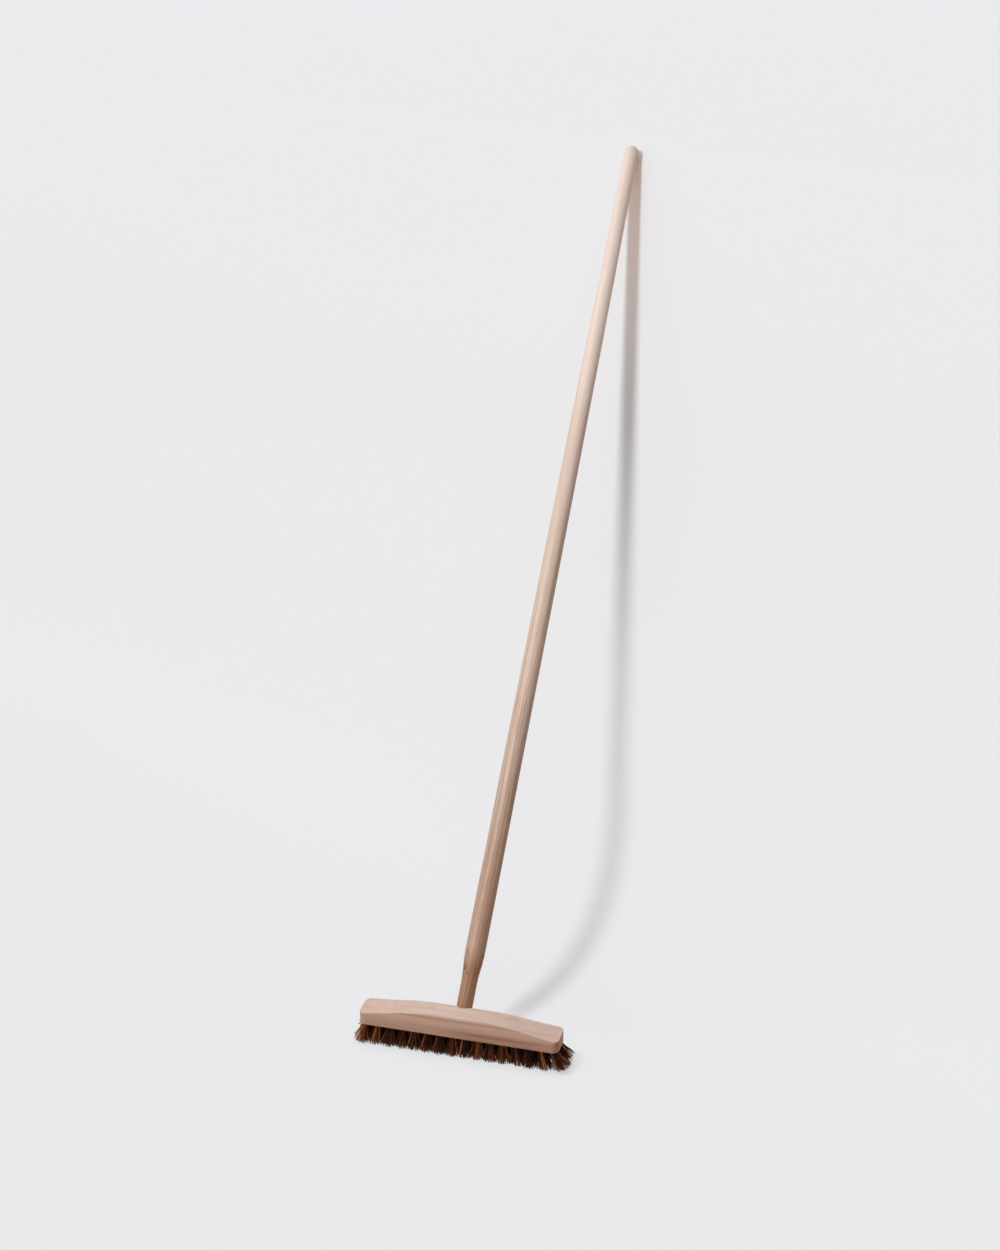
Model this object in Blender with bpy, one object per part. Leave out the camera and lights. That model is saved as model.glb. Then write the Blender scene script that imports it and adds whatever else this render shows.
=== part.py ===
"""Floor scrub brush with a long handle.

A solid hardwood head block with an arched top and moulded sides, three staggered rows of stiff plant fibre
tufts set in blind holes in its flat underside, and a turned wooden handle wedged in a slanted socket at the
back of the block.

Units are metres and +Z is up. The origin is under the middle of the head, at the cut tip of the middle
strand of the middle tuft, so the brush stands on the plane z = 0. X runs along the head, and the handle
leans towards +Y.
"""
import math

import bmesh
import bpy
from mathutils import Matrix, Vector

# Head block
HEAD_LENGTH = 0.2755
HEAD_WIDTH = 0.039
CORNER_RADIUS = 0.0092
END_THICKNESS = 0.0169
MIDDLE_THICKNESS = 0.0302
BAND_HEIGHT = 0.013
COVE_HEIGHT = 0.0115
COVE_DEPTH = 0.0034
SHOULDER_WIDTH = 0.0085
ARCH_POWER = 1.5
TOP_SKIM = 0.00015

# Tufts
BRISTLE_LENGTH = 0.028
OUTER_ROW_COUNT = 16
END_MARGIN = 0.0085
SIDE_MARGIN = 0.008
TUFT_HOLE_DIAMETER = 0.008
TUFT_HOLE_DEPTH = 0.008
CORE_WIDTH = 0.0026
STRAND_GAP = 0.0003
STRAND_TIP_WIDTH_SHARE = 0.8
TUFT_SPREAD_SHARE = 1.5
END_SPLAY = 0.0118
SIDE_SPLAY = 0.0022
SPLAY_POWER = 2.6

# Handle and its socket
HANDLE_LEAN = math.radians(46)
HANDLE_LENGTH = 1.4265
HANDLE_DIAMETER = 0.0272
NECK_DIAMETER = 0.0215
WEDGE_END_DIAMETER = 0.014
WEDGE_LENGTH = 0.0175
NECK_LENGTH = 0.031
NECK_SHOULDER_LENGTH = 0.044
TIP_DIAMETER = 0.0225
SOCKET_FLOOR = 0.0012
LIP_FROM_BACK = 0.01304
FIT_CLEARANCE = 0.0003

# Where the handle's own thinning towards its top lies: share of the stretch from the shoulder to the tip
# dome, and share of the step from the full diameter to the tip diameter.
HANDLE_TAPER_SHARES = (
    (0.0, 0.0), (0.2, 0.06), (0.35, 0.12), (0.5, 0.235), (0.63, 0.375), (0.71, 0.495), (0.79, 0.655),
    (0.85, 0.82), (0.9, 0.915), (1.0, 1.0)
)
# The turned shoulder between the neck and the full diameter: share of its length, share of the step.
NECK_SHOULDER_SHARES = ((0.0, 0.0), (0.2, 0.1), (0.45, 0.42), (0.7, 0.78), (0.9, 0.96), (1.0, 1.0))

# Facets
ARCH_STEPS = 36
CORNER_STEPS = 8
COVE_STEPS = 7
SHOULDER_STEPS = 6
HOLE_SIDES = 16
PLUG_SIDES = 8
HANDLE_SIDES = 40
DOME_STEPS = 6
SMOOTH_ANGLE = math.radians(32)

# Derived places
BLOCK_BOTTOM = BRISTLE_LENGTH
BLOCK_TOP = BLOCK_BOTTOM + MIDDLE_THICKNESS
TUFT_PITCH = (HEAD_LENGTH - 2 * END_MARGIN) / (OUTER_ROW_COUNT - 1)
ROW_PITCH = HEAD_WIDTH / 2 - SIDE_MARGIN
CUT_OVERRUN = HEAD_WIDTH
NECK_LIP_Y = HEAD_WIDTH / 2 - LIP_FROM_BACK
AXIS_TOP = Vector((0, NECK_LIP_Y + NECK_DIAMETER / 2 / math.cos(HANDLE_LEAN), BLOCK_TOP))
AXIS_OUT = Vector((0, math.sin(HANDLE_LEAN), math.cos(HANDLE_LEAN)))
SOCKET_LOW = BLOCK_BOTTOM + TUFT_HOLE_DEPTH + SOCKET_FLOOR
SOCKET_DROP = (WEDGE_END_DIAMETER / 2 + FIT_CLEARANCE) * math.sin(HANDLE_LEAN)
SOCKET_REACH = (BLOCK_TOP - SOCKET_LOW - SOCKET_DROP) / math.cos(HANDLE_LEAN)
SOCKET_END = AXIS_TOP - AXIS_OUT * SOCKET_REACH


def clear_scene():
    for obj in list(bpy.data.objects):
        bpy.data.objects.remove(obj, do_unlink=True)


def make_material(name, colour, roughness, metallic=0.0):
    material = bpy.data.materials.new(name)
    material.use_nodes = True
    shader = material.node_tree.nodes["Principled BSDF"]
    shader.inputs["Base Color"].default_value = (*colour, 1)
    shader.inputs["Roughness"].default_value = roughness
    shader.inputs["Metallic"].default_value = metallic
    material.diffuse_color = (*colour, 1)
    return material


def block_wood():
    return make_material("pale_head_wood", (0.64, 0.47, 0.38), 0.55)


def handle_wood():
    return make_material("ash_handle_wood", (0.56, 0.4, 0.28), 0.5)


def fibre():
    return make_material("dark_plant_fibre", (0.075, 0.03, 0.012), 0.6)


def add_object(name, bm, material, parent):
    mesh = bpy.data.meshes.new(name)
    bmesh.ops.recalc_face_normals(bm, faces=bm.faces)
    bm.to_mesh(mesh)
    bm.free()
    obj = bpy.data.objects.new(name, mesh)
    bpy.context.scene.collection.objects.link(obj)
    if material:
        mesh.materials.append(material)
    obj.parent = parent
    return obj


def add_empty(name, location, lean=0.0):
    empty = bpy.data.objects.new(name, None)
    empty.location = location
    empty.rotation_euler = (-lean, 0, 0)
    bpy.context.scene.collection.objects.link(empty)
    return empty


def shade_round(obj):
    obj.data.shade_smooth()
    obj.data.set_sharp_from_angle(angle=SMOOTH_ANGLE)


def prism(outline, reach):
    """A closed prism: the outline's points, swept by the vector reach."""
    bm = bmesh.new()
    face = bm.faces.new([bm.verts.new(point) for point in outline])
    swept = bmesh.ops.extrude_face_region(bm, geom=[face])["geom"]
    moved = [item for item in swept if isinstance(item, bmesh.types.BMVert)]
    bmesh.ops.translate(bm, vec=reach, verts=moved)
    return bm


def turned(profile, sides):
    """A turned solid from (radius, height) pairs, bottom to top, closed with flat ends."""
    bm = bmesh.new()
    rings = []
    for radius, height in profile:
        turns = [2 * math.pi * step / sides for step in range(sides)]
        ring = [bm.verts.new((radius * math.cos(turn), radius * math.sin(turn), height)) for turn in turns]
        rings.append(ring)
    for lower, upper in zip(rings, rings[1:]):
        for step in range(sides):
            after = (step + 1) % sides
            bm.faces.new((lower[step], lower[after], upper[after], upper[step]))
    bm.faces.new(list(reversed(rings[0])))
    bm.faces.new(rings[-1])
    return bm


def add_cutter(name, bm, parent):
    cutter = add_object(name, bm, None, parent)
    cutter.hide_render = True
    cutter.display_type = "WIRE"
    return cutter


def add_boolean(obj, cutter, operation):
    modifier = obj.modifiers.new(cutter.name, "BOOLEAN")
    modifier.object = cutter
    modifier.operation = operation
    modifier.solver = "EXACT"


def moulded_profile():
    """Half of the block's cross-section at +Y, from the bottom edge up to the start of the flat top."""
    half = HEAD_WIDTH / 2
    points = [(half, 0.0)]
    for step in range(COVE_STEPS + 1):
        share = step / COVE_STEPS
        eased = share * share * (3 - 2 * share)
        points.append((half - COVE_DEPTH * eased, BAND_HEIGHT + COVE_HEIGHT * share))
    waist = half - COVE_DEPTH
    shoulder_base = BAND_HEIGHT + COVE_HEIGHT
    shoulder_height = MIDDLE_THICKNESS + TOP_SKIM - shoulder_base
    for step in range(1, SHOULDER_STEPS + 1):
        turn = math.pi / 2 * step / SHOULDER_STEPS
        across = waist - SHOULDER_WIDTH * (1 - math.cos(turn))
        points.append((across, shoulder_base + shoulder_height * math.sin(turn)))
    return points


def arch_height(along_share):
    """Thickness of the block at a share of its half length from the middle."""
    bulge = max(0.0, 1 - along_share ** 2) ** ARCH_POWER
    return END_THICKNESS + (MIDDLE_THICKNESS - END_THICKNESS) * bulge


def moulded_bar():
    half = moulded_profile()
    start = -HEAD_LENGTH / 2 - CUT_OVERRUN
    right = [(start, across, BLOCK_BOTTOM + height) for across, height in half]
    left = [(start, -across, BLOCK_BOTTOM + height) for across, height in reversed(half)]
    return prism(right + left, (HEAD_LENGTH + 2 * CUT_OVERRUN, 0, 0))


def arch_cutter():
    """Keeps what lies under the arched top, seen from the front."""
    start = -HEAD_WIDTH / 2 - CUT_OVERRUN
    outline = [(-HEAD_LENGTH / 2 - CUT_OVERRUN / 2, start, BLOCK_BOTTOM - CUT_OVERRUN)]
    outline.append((-HEAD_LENGTH / 2 - CUT_OVERRUN / 2, start, BLOCK_BOTTOM + END_THICKNESS))
    for step in range(ARCH_STEPS + 1):
        share = 2 * step / ARCH_STEPS - 1
        outline.append((share * HEAD_LENGTH / 2, start, BLOCK_BOTTOM + arch_height(share)))
    outline.append((HEAD_LENGTH / 2 + CUT_OVERRUN / 2, start, BLOCK_BOTTOM + END_THICKNESS))
    outline.append((HEAD_LENGTH / 2 + CUT_OVERRUN / 2, start, BLOCK_BOTTOM - CUT_OVERRUN))
    return prism(outline, (0, HEAD_WIDTH + 2 * CUT_OVERRUN, 0))


def plan_cutter():
    """Keeps what lies inside the rounded rectangle that the block makes, seen from above."""
    low = BLOCK_BOTTOM - CUT_OVERRUN
    outline = []
    for corner, (side_x, side_y) in enumerate(((1, 1), (-1, 1), (-1, -1), (1, -1))):
        centre_x = side_x * (HEAD_LENGTH / 2 - CORNER_RADIUS)
        centre_y = side_y * (HEAD_WIDTH / 2 - CORNER_RADIUS)
        for step in range(CORNER_STEPS + 1):
            turn = math.pi / 2 * (corner + step / CORNER_STEPS)
            across = centre_x + CORNER_RADIUS * math.cos(turn)
            outline.append((across, centre_y + CORNER_RADIUS * math.sin(turn), low))
    return prism(outline, (0, 0, MIDDLE_THICKNESS + 2 * CUT_OVERRUN))


def tuft_places():
    """Name, x and y of every tuft: two outer rows, and a middle row set half a pitch along."""
    places = []
    for row, count, y in (
        ("front", OUTER_ROW_COUNT, -ROW_PITCH),
        ("middle", OUTER_ROW_COUNT - 1, 0.0),
        ("back", OUTER_ROW_COUNT, ROW_PITCH),
    ):
        for step in range(count):
            x = (step - (count - 1) / 2) * TUFT_PITCH
            places.append((f"tuft_{row}_{step + 1:02d}", x, y))
    return places


def hole_cutter():
    """The blind holes for the tufts, as one cutter of separate cylinders."""
    bm = bmesh.new()
    depth = TUFT_HOLE_DEPTH + CUT_OVERRUN
    for _, x, y in tuft_places():
        middle = BLOCK_BOTTOM + TUFT_HOLE_DEPTH - depth / 2
        bmesh.ops.create_cone(
            bm,
            cap_ends=True,
            segments=HOLE_SIDES,
            radius1=TUFT_HOLE_DIAMETER / 2,
            radius2=TUFT_HOLE_DIAMETER / 2,
            depth=depth,
            matrix=Matrix.Translation((x, y, middle)),
        )
    return bm


def wedge_profile(clearance):
    """The wedged end of the handle, or with a clearance the socket that takes it."""
    return [
        (WEDGE_END_DIAMETER / 2 + clearance, FIT_CLEARANCE - clearance),
        (NECK_DIAMETER / 2 + clearance, WEDGE_LENGTH),
    ]


def handle_profile():
    """The whole handle from its wedged end to its rounded tip."""
    neck = NECK_DIAMETER / 2
    full = HANDLE_DIAMETER / 2
    tip = TIP_DIAMETER / 2
    neck_end = WEDGE_LENGTH + NECK_LENGTH
    body_start = neck_end + NECK_SHOULDER_LENGTH
    dome_start = HANDLE_LENGTH - tip
    profile = wedge_profile(0.0)
    for along, step in NECK_SHOULDER_SHARES:
        profile.append((neck + (full - neck) * step, neck_end + NECK_SHOULDER_LENGTH * along))
    for along, step in HANDLE_TAPER_SHARES[1:]:
        profile.append((full + (tip - full) * step, body_start + (dome_start - body_start) * along))
    for step in range(1, DOME_STEPS):
        turn = math.pi / 2 * step / DOME_STEPS
        profile.append((tip * math.cos(turn), dome_start + tip * math.sin(turn)))
    return profile


def build_block(material, parent, socket_parent):
    block = add_object("head_block", moulded_bar(), material, parent)
    add_boolean(block, add_cutter("cut_arch", arch_cutter(), parent), "INTERSECT")
    add_boolean(block, add_cutter("cut_plan", plan_cutter(), parent), "INTERSECT")
    add_boolean(block, add_cutter("cut_tuft_holes", hole_cutter(), parent), "DIFFERENCE")
    mouth = (NECK_DIAMETER / 2 + FIT_CLEARANCE, WEDGE_LENGTH + NECK_LENGTH)
    socket = turned(wedge_profile(FIT_CLEARANCE) + [mouth], HANDLE_SIDES)
    add_boolean(block, add_cutter("cut_socket", socket, socket_parent), "DIFFERENCE")
    shade_round(block)
    return block


def build_handle(material, parent):
    handle = add_object("handle", turned(handle_profile(), HANDLE_SIDES), material, parent)
    shade_round(handle)
    return handle


def tuft_lean(x, y):
    """How far the tips of a tuft lie outside its hole, because the outer tufts are set splayed."""
    reach = HEAD_LENGTH / 2 - END_MARGIN
    along = math.copysign(END_SPLAY * abs(x / reach) ** SPLAY_POWER, x)
    return Vector((along, SIDE_SPLAY * y / ROW_PITCH, 0))


def tuft_mesh(x, y):
    """One tuft: its folded root in the hole, and nine strands that fan out of it down to the floor."""
    bm = bmesh.new()
    root_radius = TUFT_HOLE_DIAMETER / 2 - FIT_CLEARANCE
    root_top = BLOCK_BOTTOM + TUFT_HOLE_DEPTH - FIT_CLEARANCE
    turns = [2 * math.pi * step / PLUG_SIDES for step in range(PLUG_SIDES)]
    rim = [Vector((root_radius * math.cos(turn), root_radius * math.sin(turn), 0)) for turn in turns]
    up = Vector((x, y, root_top))
    down = Vector((x, y, BLOCK_BOTTOM))
    top = [bm.verts.new(point + up) for point in rim]
    bottom = [bm.verts.new(point + down) for point in rim]
    core_turns = turns[::2]
    core_radius = CORE_WIDTH / 2
    core = [
        bm.verts.new(Vector((core_radius * math.cos(turn), core_radius * math.sin(turn), 0)) + down)
        for turn in core_turns
    ]
    bm.faces.new(top)
    for step in range(PLUG_SIDES):
        after = (step + 1) % PLUG_SIDES
        bm.faces.new((top[step], bottom[step], bottom[after], top[after]))
    strands = [bm.faces.new(core)]
    for quarter in range(4):
        first = bottom[2 * quarter]
        second = bottom[2 * quarter + 1]
        third = bottom[(2 * quarter + 2) % PLUG_SIDES]
        near = core[quarter]
        far = core[(quarter + 1) % 4]
        strands.append(bm.faces.new((near, second, first)))
        strands.append(bm.faces.new((far, third, second)))
        bm.faces.new((near, far, second))
    bmesh.ops.recalc_face_normals(bm, faces=bm.faces)
    bmesh.ops.inset_individual(bm, faces=strands, thickness=STRAND_GAP / 2, use_even_offset=True)
    grown = bmesh.ops.extrude_discrete_faces(bm, faces=strands)["faces"]
    lean = tuft_lean(x, y)
    for face in grown:
        centre = face.calc_center_median()
        outward = centre - down
        tip = Vector((x, y, 0)) + lean + Vector((outward.x, outward.y, 0)) * (1 + TUFT_SPREAD_SHARE)
        for vert in face.verts:
            offset = (vert.co - centre) * STRAND_TIP_WIDTH_SHARE
            vert.co = tip + Vector((offset.x, offset.y, 0))
    return bm


def build_tufts(material, parent):
    return [add_object(name, tuft_mesh(x, y), material, parent) for name, x, y in tuft_places()]


def main():
    clear_scene()
    head = add_empty("head", (0, 0, 0))
    socket = add_empty("socket_axis", SOCKET_END, HANDLE_LEAN)
    build_block(block_wood(), head, socket)
    build_tufts(fibre(), head)
    build_handle(handle_wood(), socket)


main()
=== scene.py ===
import math
import random

import bmesh
import bpy
import numpy as np
from mathutils import Matrix, Vector


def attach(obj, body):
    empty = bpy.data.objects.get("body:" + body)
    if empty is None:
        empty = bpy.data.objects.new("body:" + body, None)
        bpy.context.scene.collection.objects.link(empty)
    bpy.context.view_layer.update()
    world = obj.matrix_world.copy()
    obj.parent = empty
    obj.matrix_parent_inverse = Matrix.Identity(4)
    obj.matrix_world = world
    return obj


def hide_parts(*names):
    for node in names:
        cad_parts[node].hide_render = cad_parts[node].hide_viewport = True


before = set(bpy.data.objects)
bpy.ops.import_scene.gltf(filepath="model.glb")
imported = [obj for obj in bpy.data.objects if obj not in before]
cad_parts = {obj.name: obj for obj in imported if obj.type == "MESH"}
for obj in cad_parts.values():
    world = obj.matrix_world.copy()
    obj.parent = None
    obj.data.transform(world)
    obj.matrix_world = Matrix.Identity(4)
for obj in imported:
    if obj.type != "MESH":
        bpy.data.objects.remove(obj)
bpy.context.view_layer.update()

# The block, in metres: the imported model's sizes, then its softened edges and the steps of its mesh.
HEAD_LENGTH = 0.2755
HEAD_WIDTH = 0.039
CORNER_RADIUS = 0.0092
END_THICKNESS = 0.0169
MIDDLE_THICKNESS = 0.0302
BAND_HEIGHT = 0.013
COVE_HEIGHT = 0.0115
COVE_DEPTH = 0.0034
SHOULDER_WIDTH = 0.0085
ARCH_POWER = 1.5
TOP_SKIM = 0.00015
BLOCK_BOTTOM = 0.028
EDGE_SOFTNESS = 0.0009
CREASE_SOFTNESS = 0.0006
BOTTOM_EDGE = 0.0005
EDGE_STEPS = (1.0, 0.8, 0.6, 0.42, 0.27, 0.14, 0.05, 0.0)
CORNER_STEPS = 24
LONG_SIDE_STEPS = 260
SHORT_SIDE_STEPS = 24
MOULDING_STEPS = 30
INNER_RINGS = 26
WALL_STEPS = 8
BOTTOM_STEPS = 4
BOTTOM_SHARES = (0.75, 0.5, 0.25, 0.0)
HOLE_SIDES = 24
BORE_SIDES = 64
BLOCK_CREASE = math.radians(40)

# The tufts: their holes, how they splay, and their single fibres. A scatter is the width of a random draw.
OUTER_ROW_COUNT = 16
END_MARGIN = 0.0085
SIDE_MARGIN = 0.008
HOLE_RADIUS = 0.004
HOLE_DEPTH = 0.008
END_SPLAY = 0.0118
LEFT_SPLAY_SHARE = 0.62
SIDE_SPLAY = 0.0022
SPLAY_POWER = 2.6
MIDDLE_END_REACH = 1.45
END_POWER = 8
SPLAY_LIFT = 0.3
MOST_ASIDE = 0.8
LEAN_SCATTER_ALONG = 0.0016
LEAN_SCATTER_ACROSS = 0.0007
# How far the end tufts lean to the right besides, by end (right or not) and row (front, middle, back).
END_SHIFT = {
    (True, -1): 0.0045, (True, 0): 0.0015, (True, 1): 0.0,
    (False, -1): 0.0022, (False, 0): 0.001, (False, 1): 0.0,
}
TUFT_SEED = 4100
FIBRES_PER_TUFT = 136
GOLDEN_TURN = 2.39996
SPIRAL_POWER = 0.42
TURN_SCATTER = 0.3
ROOT_RING = 0.0036
ROOT_DEPTH = 0.004
SPREAD = 2.45
SPREAD_SCATTER = (-0.8, 0.3)
SPREAD_ALONG = 1.3
SPREAD_ACROSS_AT_END = 0.35
TIP_SCATTER = 0.0008
STRAY_CHANCE = 0.05
STRAY_REACH = (0.0008, 0.0026)
STRAY_OUTWARD = 0.8
TIP_UNEVENNESS = 0.0003
SHORT_CHANCE = 0.08
MOST_SHORT = 0.002
BOW = 0.12
BOW_SCATTER = 0.00035
FIBRE_RADIUS = (0.0003, 0.00044)
TIP_THICKENING = 0.12
FIBRE_RINGS = 6
FIBRE_SIDES = 4
CLUMP_SECTORS = 12
CLUMPS_PER_TUFT = 24
CLUMP_SPLIT = 0.62
CLUMP_TONES = (0.1, 0.4, 0.62, 0.95)
CLUMP_CHANCES = (0.48, 0.26, 0.12, 0.14)
TUFT_TONE_SCATTER = 0.08
FIBRE_TONE_SCATTER = 0.14
# Painted shade: the middle row's fibres are pushed towards black.
MIDDLE_ROW_SHADE = -0.3

# The handle and its socket.
LEAN = math.radians(46)
HANDLE_LENGTH = 1.4265
HANDLE_RADIUS = 0.0136
NECK_RADIUS = 0.01075
WEDGE_RADIUS = 0.007
WEDGE_LENGTH = 0.0175
NECK_LENGTH = 0.031
SHOULDER_LENGTH = 0.044
TIP_RADIUS = 0.01125
FIT_CLEARANCE = 0.0003
LIP_FROM_BACK = 0.01304
SOCKET_FLOOR = 0.0012
END_CHAMFER = 0.0006
NECK_CHAMFER = 0.0003
NECK_FIRST_RING = 0.004
NECK_STEPS = 8
SHOULDER_STEPS = 24
BODY_STEPS = 150
DOME_STEPS = 14
STICK_SIDES = 72
STICK_CREASE = math.radians(50)
# Shares of the way along, and of the change in radius, for the body and for the turned shoulder.
TAPER = (
    (0.0, 0.0), (0.2, 0.06), (0.35, 0.12), (0.5, 0.235), (0.63, 0.375), (0.71, 0.495), (0.79, 0.655),
    (0.85, 0.82), (0.9, 0.915), (1.0, 1.0),
)
NECK_SHOULDER = ((0.0, 0.0), (0.2, 0.1), (0.45, 0.42), (0.7, 0.78), (0.9, 0.96), (1.0, 1.0))

# Where the socket and the handle's axis lie.
AXIS_OUT = Vector((0, math.sin(LEAN), math.cos(LEAN)))
BLOCK_TOP = BLOCK_BOTTOM + MIDDLE_THICKNESS
AXIS_TOP = Vector((0, HEAD_WIDTH / 2 - LIP_FROM_BACK + NECK_RADIUS / math.cos(LEAN), BLOCK_TOP))
SOCKET_LOW = BLOCK_BOTTOM + HOLE_DEPTH + SOCKET_FLOOR
SOCKET_REACH = (BLOCK_TOP - SOCKET_LOW - (WEDGE_RADIUS + FIT_CLEARANCE) * math.sin(LEAN)) / math.cos(LEAN)
SOCKET_END = AXIS_TOP - AXIS_OUT * SOCKET_REACH
HANDLE_PLACE = Matrix.Translation(SOCKET_END) @ Matrix.Rotation(-LEAN, 4, "X")

# Colours of the block, then the tints that are multiplied in. The side and end tints are painted shade.
BLOCK_LIGHT = (0.745, 0.56, 0.48)
BLOCK_MIDDLE = (0.665, 0.475, 0.39)
BLOCK_DARK = (0.45, 0.285, 0.21)
BLOCK_SIDE_SHADE = (0.92, 0.8, 0.73)
BLOCK_END_SHADE = (0.86, 0.75, 0.69)
BLOCK_FIGURE = (0.74, 0.64, 0.57)

# Colours of the handle from its neck up, its tints, and the direction in which its two flanks lie. The
# neck tint and the two flank tints are painted shade.
STICK_LOW = (0.61, 0.405, 0.3)
STICK_MIDDLE = (0.79, 0.61, 0.51)
STICK_TOP = (0.87, 0.725, 0.645)
STICK_LAYER = (0.76, 0.67, 0.59)
STICK_LINE = (0.78, 0.69, 0.61)
STICK_PORE = (0.6, 0.5, 0.43)
STICK_BLUSH = (0.88, 0.76, 0.68)
STICK_NECK_SHADE = (0.75, 0.6, 0.48)
STICK_KNOT = (0.5, 0.36, 0.27)
STICK_LEFT_SHADE = (0.87, 0.86, 0.86)
STICK_RIGHT_SHADE = (0.7, 0.66, 0.64)
STICK_SIDEWAYS = (0.972, 0.236)

# Colours of the fibre, from the darkest tone, which is painted shade used mostly by the middle row, to the
# brightest, then of its specks, which are painted shade too, and of its tips.
FIBRE_SHADED = (0.006, 0.0025, 0.002)
FIBRE_DARK = (0.034, 0.0085, 0.0042)
FIBRE_MIDDLE = (0.17, 0.047, 0.017)
FIBRE_BRIGHT = (0.7, 0.235, 0.066)
FIBRE_SPECK_SHADE = (0.03, 0.009, 0.004)
FIBRE_TIP = (0.27, 0.1, 0.038)

# The backdrop: a floor, a cove and a leaning sheet that bends back above the handle's tip.
PAPER = (0.823, 0.828, 0.85)
SWEEP_TURN = math.radians(-25.6)
SWEEP_SLOPE = math.radians(60.4)
SWEEP_TOP_SLOPE = math.radians(42)
SWEEP_COVE = 0.185
SWEEP_GAP = 0.012
SWEEP_BEND = 0.015
SWEEP_ALONG = Vector((math.cos(SWEEP_TURN), math.sin(SWEEP_TURN), 0))
SWEEP_BACK = Vector((-math.sin(SWEEP_TURN), math.cos(SWEEP_TURN), 0))
FLOOR_PLACES = (-7, -2, -0.5)
SHEET_PLACES = (1, 2, 6)
SHEET_HALF_WIDTH = 9
COVE_STEPS = 32
BEND_STEPS = 8

# The lamp and the sky.
KEY_PLACE = Vector((-1.139, -0.62, 2.306))
KEY_AIM = Vector((0, 0.6, 0.55))
KEY_POWER = 31.0
KEY_SIZE = 0.4
SKY = 0.5
SKY_SKEW = 0.3

# How the paper takes light. The fills are what reaches it besides the lamp's light. The lifts are the
# shares of its colour that glow and take no shadow. A band is where a change starts and ends, in height
# or in distance from the block. The bounce is the colour that the object gets its soft light from.
FLOOR_FILL = 0.508
WALL_FILL = 0.494
TOP_FILL = 0.015
TOP_BAND = (1.005, 1.045)
MOST_PAPER = 1.15
HEAD_LIFT = 0.6
HEAD_BAND = (0.03, 0.12)
CONTACT_BAND = (0.002, 0.02)
LOW_LIFT = 0.46
LOW_BAND = (0.32, 0.66)
# High on the sheet the glow is warmer, which paints a warm light into the shadow near the handle's tip.
HIGH_LIFT = (0.28, 0.14, 0.07)
HIGH_BAND = (0.62, 0.92)
BOUNCE_LOW = (0.36, 0.27, 0.2)
BOUNCE_HIGH = (0.61, 0.53, 0.48)
BOUNCE_BAND = (0.05, 0.4)

# The photograph's view: angles, focal length in pixels, and where the model's origin is seen.
IMAGE_WIDTH = 1000
IMAGE_HEIGHT = 1250
VIEW_PITCH = math.radians(22.65)
VIEW_YAW = math.radians(14.93)
VIEW_FOCAL = 1938.0
VIEW_DEPTH = 2.6
ORIGIN_PIXEL = (461.1, 1048.2)
SENSOR_HEIGHT = 24


class Graph:
    """Short calls for a material's nodes."""

    def __init__(self, name):
        self.material = bpy.data.materials.new(name)
        self.material.use_nodes = True
        self.tree = self.material.node_tree
        self.shader = self.tree.nodes["Principled BSDF"]
        self.output = self.tree.nodes["Material Output"]

    def node(self, kind, **settings):
        made = self.tree.nodes.new(kind)
        for key, value in settings.items():
            setattr(made, key, value)
        return made

    def feed(self, socket, value):
        if isinstance(value, bpy.types.NodeSocket):
            self.tree.links.new(value, socket)
        else:
            socket.default_value = value

    def coords(self, kind="Object"):
        return self.node("ShaderNodeTexCoord").outputs[kind]

    def stretch(self, vector, scale, place=(0, 0, 0)):
        made = self.node("ShaderNodeMapping")
        self.feed(made.inputs["Vector"], vector)
        made.inputs["Scale"].default_value = scale
        made.inputs["Location"].default_value = place
        return made.outputs["Vector"]

    def noise(self, vector, scale=1.0, detail=3.0, rough=0.5, distortion=0.0):
        made = self.node("ShaderNodeTexNoise")
        self.feed(made.inputs["Vector"], vector)
        made.inputs["Scale"].default_value = scale
        made.inputs["Detail"].default_value = detail
        made.inputs["Roughness"].default_value = rough
        made.inputs["Distortion"].default_value = distortion
        return made.outputs["Fac"]

    def math(self, operation, first, second=0.0, clamp=False):
        made = self.node("ShaderNodeMath", operation=operation, use_clamp=clamp)
        self.feed(made.inputs[0], first)
        self.feed(made.inputs[1], second)
        return made.outputs[0]

    def range(self, value, low, high, out_low=0.0, out_high=1.0, smooth=False):
        made = self.node("ShaderNodeMapRange", interpolation_type="SMOOTHSTEP" if smooth else "LINEAR")
        self.feed(made.inputs["Value"], value)
        limits = {"From Min": low, "From Max": high, "To Min": out_low, "To Max": out_high}
        for name, number in limits.items():
            made.inputs[name].default_value = number
        return made.outputs["Result"]

    def mix(self, share, first, second, blend="MIX"):
        made = self.node("ShaderNodeMix", data_type="RGBA", blend_type=blend)
        self.feed(made.inputs[0], share)
        self.feed(made.inputs[6], first if isinstance(first, bpy.types.NodeSocket) else (*first, 1))
        self.feed(made.inputs[7], second if isinstance(second, bpy.types.NodeSocket) else (*second, 1))
        return made.outputs[2]

    def split(self, vector):
        made = self.node("ShaderNodeSeparateXYZ")
        self.feed(made.inputs[0], vector)
        return made.outputs

    def bump(self, height, distance, strength=1.0):
        made = self.node("ShaderNodeBump")
        self.feed(made.inputs["Height"], height)
        made.inputs["Distance"].default_value = distance
        made.inputs["Strength"].default_value = strength
        self.feed(self.shader.inputs["Normal"], made.outputs["Normal"])


def curve_point(start, middle, end, t):
    """A place on the quadratic curve that starts and ends at two points and bends towards a third."""
    return start * (1 - t) ** 2 + middle * 2 * t * (1 - t) + end * t * t


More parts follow.
